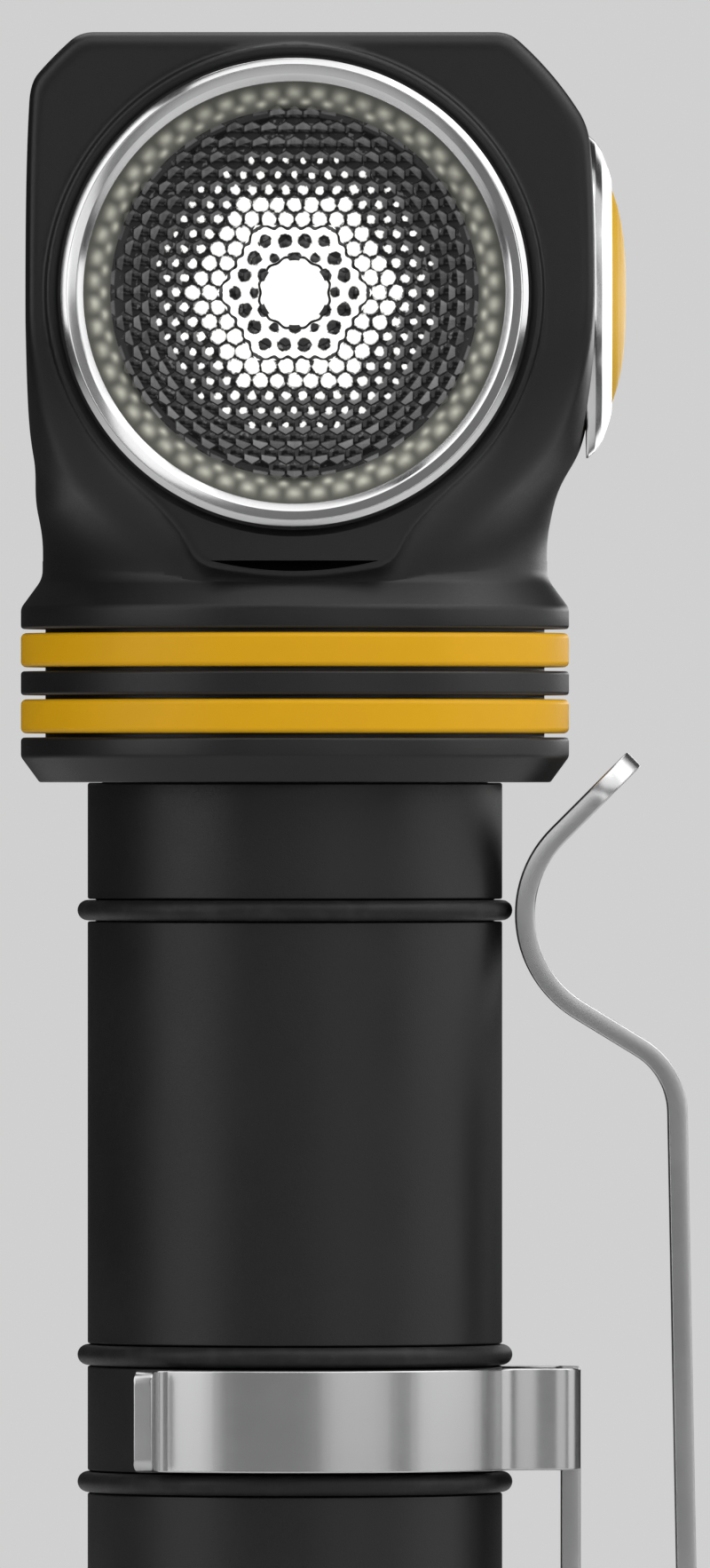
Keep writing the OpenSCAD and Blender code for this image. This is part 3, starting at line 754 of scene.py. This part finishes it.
def cell_patch(rings, per_side):
    """Offsets of one cell's vertices from its centre, ring by ring, and the patch's faces."""
    corner_r = CELL_PITCH / sqrt(3)
    corners = [ahead((0, 0), 60 * k + 30, corner_r) for k in range(6)]
    edge = []
    for a, b in zip(corners, corners[1:] + corners[:1]):
        for t in (step / per_side for step in range(per_side)):
            edge.append((a[0] + (b[0] - a[0]) * t, a[1] + (b[1] - a[1]) * t))
    offsets = [(0.0, 0.0)]
    for ring in range(1, rings + 1):
        offsets += [(x * ring / rings, y * ring / rings) for x, y in edge]
    n = len(edge)
    faces = [(0, 1 + k, 1 + (k + 1) % n) for k in range(n)]
    for ring in range(rings - 1):
        a, b = 1 + ring * n, 1 + (ring + 1) * n
        faces += [(a + k, b + k, b + (k + 1) % n, a + (k + 1) % n) for k in range(n)]
    return offsets, faces


def make_honeycomb():
    """Domed cells that meet in creases, closed with a flat underside."""
    dome_r = 0.82
    offsets, patch = cell_patch(4, 3)
    verts, faces = [], []
    for u, v in hex_cells():
        start = len(verts)
        for du, dv in offsets:
            rise = sqrt(dome_r**2 - du**2 - dv**2) - sqrt(dome_r**2 - CELL_PITCH**2 / 3)
            verts.append((u + du, v + dv, FACE + 0.04 + rise))
        faces += [tuple(start + k for k in face) for face in patch]
    obj = new_object("honeycomb", on_lens(np.array(verts)), faces)
    work = bmesh.new()
    work.from_mesh(obj.data)
    bmesh.ops.remove_doubles(work, verts=work.verts, dist=0.02 * MM)
    rim = [e for e in work.edges if e.is_boundary]
    walls = bmesh.ops.extrude_edge_only(work, edges=rim)["geom"]
    for vert in [g for g in walls if isinstance(g, bmesh.types.BMVert)]:
        vert.co.y = -(FACE - 0.15) * MM
    bmesh.ops.holes_fill(work, edges=[e for e in work.edges if e.is_boundary], sides=0)
    bmesh.ops.recalc_face_normals(work, faces=work.faces)
    work.to_mesh(obj.data)
    work.free()
    return obj


def rim_height(radius, angles):
    """Two staggered rows of soft bumps round the rim of the optic."""
    total = np.zeros_like(angles)
    for row_r, width, phase, power in RIM_ROWS:
        wave = 0.5 + 0.5 * np.cos(RIM_BUMPS * angles + phase)
        total += 0.16 * np.exp(-(((radius - row_r) / width) ** 2)) * wave**power
    return total


def make_optic(look):
    """Optic body with its bumpy rim, plus the honeycomb on its face."""
    back = low_front("tir_optic")
    segments = RIM_BUMPS * 14
    angles = np.arange(segments) * 2 * pi / segments
    rim_rows = np.linspace(RIM_START - 0.5, 12.8, 22)
    profile = [(0, 5.2), (2.4, 4.7), (2.5, back), (4.2, back), (11.5, 12.62), (12.9, 12.62), (12.9, 14.0)]
    verts = [(0.0, 0.0, profile[0][1])]
    rows = []
    levels = [(r, np.full(segments, f)) for r, f in profile[1:]]
    levels += [(r, FACE - 0.3 + rim_height(r, angles) * (r < 12.5)) for r in rim_rows[::-1]]
    levels += [(r, np.full(segments, FACE - 0.05)) for r in (9.0, 5.0)]
    for r, heights in levels:
        rows.append(len(verts))
        verts += list(zip(r * np.cos(angles), r * np.sin(angles), heights))
    tip = len(verts)
    verts.append((0.0, 0.0, FACE - 0.05))
    faces = [(0, rows[0] + (k + 1) % segments, rows[0] + k) for k in range(segments)]
    for a, b in zip(rows, rows[1:]):
        faces += bridge(a, b, segments)
    faces += [(tip, rows[-1] + k, rows[-1] + (k + 1) % segments) for k in range(segments)]
    body = new_object("optic", on_lens(np.array(verts, float)), faces)
    boolean(body, [make_honeycomb()], "UNION")
    return finish_piece(body, "torch", "clear_optic", look, "tir_optic", angle=24)


# ---------- collar rings, tube and grip rings ----------


def make_accent_ring(name, node, look):
    """A flat yellow ring, flush with the collar."""
    z0, z1 = low(node).z, high(node).z
    seat = COLLAR_R - 2.0 + 0.02
    corners = [(seat, z0), (COLLAR_R, z0, 0.32), (COLLAR_R, z1, 0.32), (seat, z1)]
    ring = turned(name, outline(corners, steps=6))
    return finish_piece(ring, "torch", "accent_yellow", look, node)


def make_grip_ring(name, node, look):
    """A ring of round section that sits in its groove."""
    half, steps = (high(node).z - low(node).z) / 2, 24
    centre = (TUBE_R, mid_height(node))
    circle = [ahead(centre, 360 * k / steps, half) for k in range(steps)]
    return finish_piece(turned(name, circle), "torch", "black_rubber", look, node)


THREAD = (SPIGOT_Z + 0.6, SPIGOT_Z + 6.2)
THREAD_PITCH = 1.0


def thread_shift(radius, height, angles):
    """Cuts a helical thread into the lower end of the tube."""
    if abs(radius - THREAD_R) > 0.01 or not THREAD[0] <= height <= THREAD[1]:
        return np.full(len(angles), radius)
    phase = (height / THREAD_PITCH - angles / (2 * pi)) % 1.0
    ramp = np.clip(np.abs(phase - 0.5) * 2 * 1.5 - 0.25, 0, 1)
    ends = min(1.0, (height - THREAD[0]) / 0.5, (THREAD[1] - height) / 0.5)
    return radius - 0.5 * ramp * ends


def groove(z, half, floor):
    """Corners of a round-bottomed groove in the tube, from bottom to top."""
    lip, root = 0.12, 0.3
    below = [(TUBE_R, z - half, lip), (floor, z - half, root)]
    return below + [(floor, z + half, root), (TUBE_R, z + half, lip)]


def seal_groove(node):
    """Corners of the square groove that holds a seal, from bottom to top."""
    z, half, floor = mid_height(node), 0.65, THREAD_R - 1.05
    return [(THREAD_R, z - half), (floor, z - half), (floor, z + half), (THREAD_R, z + half)]


def make_tube(look):
    """The tube with its thread, its two seal grooves and its three grip ring grooves."""
    floor, rows = TUBE_R - 0.65, 94
    corners = [(BORE_R, SPIGOT_Z, 0.2), (THREAD_R - 0.4, SPIGOT_Z), (THREAD_R, SPIGOT_Z + 0.4)]
    corners += [(THREAD_R, z) for z in np.linspace(*THREAD, rows)]
    corners += seal_groove("tail_seal") + [(THREAD_R, CAP_TOP + 0.02), (TUBE_R, CAP_TOP + 0.02, 0.25)]
    for node in ("lower_grip_ring", "middle_grip_ring", "upper_grip_ring"):
        corners += groove(mid_height(node), 0.66, floor)
    corners += [(TUBE_R, COLLAR_Z - 0.02, 0.15), (THREAD_R, COLLAR_Z - 0.02)] + seal_groove("head_seal")
    corners += [(THREAD_R, TUBE_TOP, 0.3), (BORE_R, TUBE_TOP)]
    tube = turned("tube", outline(corners), shift=thread_shift)
    return finish_piece(tube, "torch", "black_anodised", look, "battery_tube")


def make_tail_cap(look):
    """Cup with three ribs, a shallow flat foot, and the seats for its magnet and contact board."""
    floor, foot_r, rib_depth = 1.2, 9.2, 0.5
    magnet_r = high("tail_magnet").x + 0.1
    board_z = low("tail_contact_board").z - 0.02
    corners = [(0, 0.15), (foot_r, 0.15, 0.2), (foot_r + 0.25, 0.0, 0.1)]
    corners += [(TUBE_R - 1.2, 0, 0.3), (TUBE_R, 1.2, 0.5)]
    for z0, z1 in ((5.2, 6.1), (7.4, 8.3), (9.6, 10.5)):
        corners += [(TUBE_R, z0, 0.18), (TUBE_R - rib_depth, z0, 0.15)]
        corners += [(TUBE_R - rib_depth, z1, 0.15), (TUBE_R, z1, 0.18)]
    corners += [(TUBE_R, CAP_TOP, 0.25), (SOCKET_R + 0.25, CAP_TOP), (SOCKET_R, CAP_TOP - 0.3)]
    corners += [(SOCKET_R, board_z), (magnet_r, board_z), (magnet_r, floor), (0, floor)]
    cap = turned("tail_cup", outline(corners))
    return finish_piece(cap, "tail_cap_body", "black_anodised", look, "tail_cap")


# ---------- button ----------


def make_button_plate(look):
    """Shallow domed ring with a rounded rim."""
    inner, skirt_r, lip, foot = 6.57, 7.55, 17.22, 16.6
    corners = [(inner, foot), (inner, PLATE_TOP - 0.06, 0.1), (inner + 0.3, PLATE_TOP, 0.2)]
    corners += [(7.6, PLATE_TOP - 0.2, 1.0), (8.6, PLATE_TOP - 0.56, 1.0), (9.2, PLATE_TOP - 0.98, 0.5)]
    corners += [(PLATE_R, PLATE_TOP - 1.38, 0.2), (PLATE_R, lip), (skirt_r, lip), (skirt_r, foot)]
    plate = turned("switch_plate", outline(corners), on_button)
    return finish_piece(plate, "torch", "steel_trim", look, "button_plate")


def make_button(look):
    """Domed cap with a flange and a nub behind it."""
    r, wall_r, flange_r = 6.42, 5.12, 7.35
    nub_r, nub_end, roof, flange = 1.5, 16.12, 17.5, 16.45
    bulge = BUTTON_TOP - PLATE_TOP - 0.05
    corners = [(0, nub_end), (nub_r, nub_end, 0.1), (nub_r, roof, 0.2), (wall_r, roof, 0.3)]
    corners += [(wall_r, flange - 0.55), (flange_r, flange - 0.55, 0.1), (flange_r, flange, 0.1)]
    corners += [(r, flange), (r, PLATE_TOP - 0.15, 0.2)]
    rings = 7
    for k in range(rings):
        corners.append((r - 0.15 - 0.9 * k, BUTTON_TOP - bulge * (1 - k / rings) ** 3.0, 0.6))
    corners.append((0, BUTTON_TOP))
    cap = turned("button", outline(corners, steps=3), on_button, segments=128)
    return finish_piece(cap, "button", "button_yellow", look, "button_cap", angle=50)


# ---------- clip ----------

STRIP_T = 1.15
STRIP_W = high("clip_arm").y * 2
EDGE = 0.11


def arc_path(centre, radius, start, end, step=5.0):
    """Points along an arc, by angles in degrees."""
    count = max(2, int(abs(end - start) / step))
    return [ahead(centre, start + (end - start) * k / count, radius) for k in range(count + 1)]


def spaced(path, step):
    """The same path with points at even steps."""
    p = np.array(path, float)
    keep = np.concatenate([[True], np.hypot(*np.diff(p, axis=0).T) > 1e-6])
    p = p[keep]
    along = np.concatenate([[0], np.cumsum(np.hypot(*np.diff(p, axis=0).T))])
    at = np.linspace(0, along[-1], max(2, int(along[-1] / step) + 1))
    return np.stack([np.interp(at, along, p[:, k]) for k in (0, 1)], axis=1), at


def section(half_t, half_w, edge):
    """Rounded rectangle of a strip, as (offset along the normal, offset across)."""
    edge = min(edge, half_t * 0.98, half_w * 0.98)
    corners = [(half_t, -half_w), (half_t, half_w), (-half_t, half_w), (-half_t, -half_w)]
    return np.array(outline([(*corner, edge) for corner in corners], steps=4))


def end_trim(along, total, radius):
    """How much a strip narrows on each side at a distance along it, for ends rounded with that radius."""
    trim = 0.0
    for distance, r in ((along, radius[0]), (total - along, radius[1])):
        if distance < r:
            trim = max(trim, r - sqrt(max(r * r - (r - distance) ** 2, 0.0)))
    return trim


def strip(name, path, width, place, plan=(0, 0), edges=(EDGE, EDGE)):
    """A bent strip of sheet. path is its centreline, place puts (a, b, across) in the frame,
    plan gives the corner radii of its two ends, and edges the rounding of the end faces."""
    line, along = spaced(path, 0.25)
    total = along[-1]
    fine = np.array((0.01, 0.03, 0.06, 0.1, 0.15, 0.2, 0.28))
    at = np.unique(np.round(np.concatenate([along, fine, total - fine]), 5))
    a = np.interp(at, along, line[:, 0])
    b = np.interp(at, along, line[:, 1])
    da, db = np.gradient(a, at), np.gradient(b, at)
    size = np.hypot(da, db)
    na, nb = -db / size, da / size
    verts, rows = [], []
    for i, s in enumerate(at):
        half_w = width / 2 - end_trim(s, total, plan) - end_trim(s, total, edges)
        half_t = STRIP_T / 2 - end_trim(s, total, edges)
        ring = section(max(half_t, 0.05), max(half_w, 0.05), EDGE)
        rows.append(len(verts))
        verts += [(a[i] + na[i] * n, b[i] + nb[i] * n, w) for n, w in ring]
    count = len(ring)
    faces = [tuple(range(count))[::-1], tuple(rows[-1] + k for k in range(count))]
    for r0, r1 in zip(rows, rows[1:]):
        faces += bridge(r0, r1, count)
    return new_object(name, place(np.array(verts)), faces)


def in_side_plane(p):
    """(x, z, across) to the frame: the leg, loop and arm."""
    return np.stack([p[:, 0], p[:, 2], p[:, 1]], axis=1)


def in_band_plane(p):
    """(x, y, across) to the frame: the band round the tube."""
    return np.stack([p[:, 0], p[:, 1], (BAND_Z[0] + BAND_Z[1]) / 2 + p[:, 2]], axis=1)


LOOP_X = 19.8
LOOP_Z = 10.0
PLATE_X = 16.87
LOOP_R = LOOP_X - PLATE_X + STRIP_T / 2
SEAM_Z = 13.0
ARM_LEAN = 1.1


def half_band_path(side):
    """Centreline of one half of the band: from inside the bracket, round the tube, to the curled end."""
    mid_r = TUBE_R + 0.05 + STRIP_T / 2
    bend = 1.5 - STRIP_T / 2
    reach, curl_turn, curl = 123.0, 105.0, 0.6
    wing_y, meets = STRIP_W / 2 + bend, 26.5
    path = [(PLATE_X - STRIP_T / 2, STRIP_W / 2 - 1.2)]
    path += arc_path((PLATE_X - 1.5, STRIP_W / 2), bend, 0, 90, 10)
    axis = (0, 0)
    way = ahead(axis, meets + 90, 1)
    path += blend_path((PLATE_X - 2.2, wing_y), (-1, 0), ahead(axis, meets, mid_r), way)
    path += arc_path(axis, mid_r, meets, reach, 3)
    centre = ahead(axis, reach, mid_r + STRIP_T / 2 + curl)
    path += arc_path(centre, curl + STRIP_T / 2, reach + 180, reach + 180 - curl_turn, 7)
    path.append(ahead(path[-1], reach + 90 - curl_turn, 0.55))
    return [(x, side * y) for x, y in path]


def blend_path(a, heading_a, b, heading_b, count=14):
    """A smooth curve from a to b that leaves and arrives along the two headings."""
    reach = hypot(b[0] - a[0], b[1] - a[1])
    ends = np.array([a, heading_a, b, heading_b]) * [[1], [reach], [1], [reach]]
    points = []
    for k in range(count + 1):
        t = k / count
        h = (2 * t**3 - 3 * t**2 + 1, t**3 - 2 * t**2 + t, -2 * t**3 + 3 * t**2, t**3 - t**2)
        points.append(tuple(h @ ends))
    return points


def leg_path():
    """Centreline from the band down to the seam."""
    x = PLATE_X - STRIP_T / 2
    return [(x, BAND_Z[1]), (x, SEAM_Z)]


def loop_path():
    """Centreline of the loop, from the seam down, round and up to the same height."""
    x = PLATE_X - STRIP_T / 2
    path = [(x, SEAM_Z)] + arc_path((LOOP_X, LOOP_Z), LOOP_R, 180, 360 + ARM_LEAN, 5)
    lean = 90 + ARM_LEAN
    return path + [ahead(path[-1], lean, (SEAM_Z - path[-1][1]) / sin(radians(lean)))]


def arm_path():
    """From the loop up the straight, over the shoulder, round the nose and out along the tip."""
    heading = 90 + ARM_LEAN
    start = loop_path()[-1]
    straight = 36.5 - (SEAM_Z - LOOP_Z)
    shoulder_r, shoulder_turn, ramp, nose_r, tip_heading, tip = 4.6, 57.5, 4.28, 6.6, 45.0, 6.4
    top = ahead(start, heading, straight)
    centre = ahead(top, heading + 90, shoulder_r)
    path = [start] + arc_path(centre, shoulder_r, heading - 90, heading - 90 + shoulder_turn, 4)
    heading += shoulder_turn
    path.append(ahead(path[-1], heading, ramp))
    centre = ahead(path[-1], heading - 90, nose_r)
    path += arc_path(centre, nose_r, heading + 90, tip_heading + 90, 4)
    return path + [ahead(path[-1], tip_heading, tip)]


def make_clip(look):
    """The clip in three pieces that meet at the seam: leg and band, loop, and arm."""
    leg = strip("clip_leg", leg_path(), STRIP_W, in_side_plane, edges=(EDGE, 0))
    halves = [
        strip(f"half_band_{k}", half_band_path(side), BAND_WIDTH, in_band_plane, (0, 0.7), (0, EDGE))
        for k, side in enumerate((1, -1))
    ]
    boolean(leg, halves, "UNION")
    finish_piece(leg, "clip_ring", "spring_steel", look, "clip_band")
    loop = strip("clip_loop", loop_path(), STRIP_W, in_side_plane, edges=(0, 0))
    finish_piece(loop, None, "spring_steel", look)
    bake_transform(loop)
    tip = (0, STRIP_W / 2 - 0.05)
    arm = strip("clip_lever", arm_path(), STRIP_W, in_side_plane, plan=tip, edges=(0, EDGE))
    finish_piece(arm, "clip_spring", "spring_steel", look, "clip_arm")


# ---------- pieces inside the light ----------


def dress_inner_nodes():
    """Gives each CAD node that stays its material and softens its edges."""
    nickel = machined("nickel_plate", (0.62, 0.6, 0.57), 0.22)
    looks = (
        (plain_rubber("inner_rubber", (0.012, 0.012, 0.012), 0.55), "optic_seal button_gasket"),
        (plain_rubber("seal_rubber", (0.34, 0.03, 0.012), 0.35), "head_seal tail_seal"),
        (moulded("white_nylon", (0.75, 0.75, 0.72), 0.5), "optic_holder"),
        (moulded("white_solder_mask", (0.78, 0.78, 0.75), 0.35), "led_board"),
        (moulded("green_solder_mask", (0.012, 0.11, 0.045), 0.35), "driver_board switch_board"),
        (moulded("chip_epoxy", (0.02, 0.02, 0.02), 0.5), "driver_components switch_plunger"),
        (moulded("lead_insulation", (0.03, 0.03, 0.03), 0.4), "led_leads switch_leads"),
        (moulded("cell_film", (0.015, 0.09, 0.28), 0.22, fine=1.5), "battery_cell"),
        (machined("turned_brass", (0.72, 0.5, 0.2), 0.25), "driver_retainer tail_retainer"),
        (machined("gold_plate", (0.9, 0.66, 0.26), 0.2), "front_contact tail_contact_board tail_spring"),
        (nickel, "board_screws tact_switch battery_button tail_magnet"),
        (phosphor(), "led_emitter"),
    )
    for look, names in looks:
        for name in names.split():
            dress(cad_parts[name], look)


def dress(node, look):
    """Gives a CAD node its material and rounds its sharp edges slightly."""
    node.data.materials.clear()
    node.data.materials.append(look)
    edges = node.modifiers.new("soft_edges", "BEVEL")
    edges.width = 0.08 * MM
    edges.segments = 2
    edges.limit_method = "ANGLE"
    edges.angle_limit = radians(50)


# ---------- room ----------


def soft_box(name, azimuth, height, distance, size, brightness, aim):
    """An area light, in metres, aimed at a height. Azimuth 0 is in front and 90 on the button side."""
    place = Vector((*ahead((0, 0), azimuth - 90, distance), height))
    target = Vector((0, 0, aim))
    data = bpy.data.lights.new(name, "AREA")
    data.shape = "RECTANGLE"
    data.size, data.size_y = size
    data.energy = brightness * pi * size[0] * size[1]
    light = add_object(name, data)
    light.location = place
    light.rotation_euler = (target - place).to_track_quat("-Z", "Y").to_euler()
    light.visible_camera = False
    return light


def light_only(light, piece):
    """Keeps a light to one piece."""
    reached = bpy.data.collections.new(f"{light.name}_reach")
    reached.objects.link(piece)
    light.light_linking.receiver_collection = reached


def make_world():
    """Pale grey to the eye, and dim for the light it gives, so that the soft boxes shape the dark body."""
    world = bpy.data.worlds.new("studio")
    world.use_nodes = True
    tree = world.node_tree
    seen = tree.nodes["Background"]
    seen.inputs["Color"].default_value = (0.631, 0.631, 0.631, 1)
    kinds = ("Background", "TexCoord", "SeparateXYZ", "MapRange", "LightPath", "MixShader")
    dim, way, split, fall, path, mix = (tree.nodes.new("ShaderNode" + kind) for kind in kinds)
    fall.interpolation_type = "SMOOTHSTEP"
    for name, number in zip(RANGE, (0.2, -0.9, 0.03, 0.2)):
        fall.inputs[name].default_value = number
    for start, end in (
        (way.outputs["Generated"], split.inputs[0]),
        (split.outputs["Y"], fall.inputs["Value"]),
        (fall.outputs["Result"], dim.inputs["Color"]),
        (path.outputs["Is Camera Ray"], mix.inputs[0]),
        (dim.outputs[0], mix.inputs[1]),
        (seen.outputs[0], mix.inputs[2]),
        (mix.outputs[0], tree.nodes["World Output"].inputs["Surface"]),
    ):
        tree.links.new(start, end)
    bpy.context.scene.world = world


def make_floor():
    """A plain pale round floor that fades out towards its rim."""
    radius = 320.0
    floor = turned("floor", [(0, -1), (radius, -1), (radius, -0.02), (0, -0.02)], segments=96)
    look = Look("floor_paint", (0.66, 0.66, 0.66), 0.0, 0.7)
    drift = look.noise(0.02, detail=2)
    look.set("Base Color", look.mix(drift, (0.64, 0.64, 0.64), (0.68, 0.68, 0.68)))
    look.set("Alpha", look.between(look.vector("LENGTH", look.place), radius * 0.3, radius, 1.0, 0.0))
    floor.data.materials.append(look.material)


def make_camera():
    """A long lens, level, in front of the light."""
    view_height = 92.2735
    middle = (3.55, 65.9)
    in_focus = 7.5
    data = bpy.data.cameras.new("camera")
    data.lens = 720
    data.sensor_width = 36
    distance = in_focus + data.lens / data.sensor_width * view_height
    data.clip_end = 20
    camera = add_object("camera", data)
    camera.location = (middle[0] * MM, -distance * MM, middle[1] * MM)
    camera.rotation_euler = (radians(90), 0, 0)
    bpy.context.scene.camera = camera


def make_lights():
    """Tall boxes at the sides shape the body, small panels light the head, and high boxes its edges."""
    for name, azimuth, height, distance, size, brightness, aim in (
        ("left_box", -62, 0.46, 0.6, (0.46, 0.9), 1.45, 0.46),
        ("right_box", 85, 0.46, 0.6, (0.50, 0.9), 1.35, 0.46),
        ("rear_right_box", 122, 0.46, 0.6, (0.24, 0.9), 0.75, 0.46),
        ("back_box", 180, 0.80, 0.4, (0.7, 0.7), 1.8, 0.06),
        ("high_right_box", 100, 0.70, 0.5, (0.5, 0.5), 1.3, 0.06),
        ("plate_panel", 158, 0.097, 0.3, (0.2, 0.036), 2.6, 0.097),
        ("high_front_box", 42, 0.42, 0.45, (0.5, 0.36), 1.2, 0.06),
        ("front_box", 32, 0.06, 0.35, (0.22, 0.085), 0.9, 0.06),
        ("near_panel", 2, 0.099, 0.25, (0.2, 0.032), 1.5, 0.099),
        ("top_box", 10, 0.75, 0.30, (0.8, 0.6), 1.3, 0.06),
    ):
        soft_box(name, azimuth, height, distance, size, brightness, aim)


# ---------- build ----------

bpy.context.scene.view_settings.view_transform = "Standard"
make_camera()
make_world()
make_lights()
make_floor()

anodised = black_anodised()
trim_steel = satin_steel("trim_steel", 0.7, 0.14, (1, 1, 1))
clip_steel = satin_steel("clip_steel", 0.57, 0.24, (0.2, 0.2, 2))
accent = yellow_rubber("accent_yellow", (0.84, 0.44, 0.005))
button_yellow = yellow_rubber("button_yellow", (0.80, 0.46, 0.012))
grip_rubber = plain_rubber("grip_rubber", (0.01, 0.01, 0.01), 0.5)

make_head(anodised)
make_bezel(trim_steel)
make_optic(clear_optic())
make_accent_ring("upper_accent", "upper_accent_ring", accent)
make_accent_ring("lower_accent", "lower_accent_ring", accent)
make_tube(anodised)
for which in ("upper", "middle", "lower"):
    make_grip_ring(f"{which}_grip", f"{which}_grip_ring", grip_rubber)
make_tail_cap(anodised)
plate = make_button_plate(trim_steel)
light_only(soft_box("rim_panel", 144, 0.097, 0.3, (0.3, 0.17), 1.4, 0.097), plate)
make_button(button_yellow)
make_clip(clip_steel)
dress_inner_nodes()
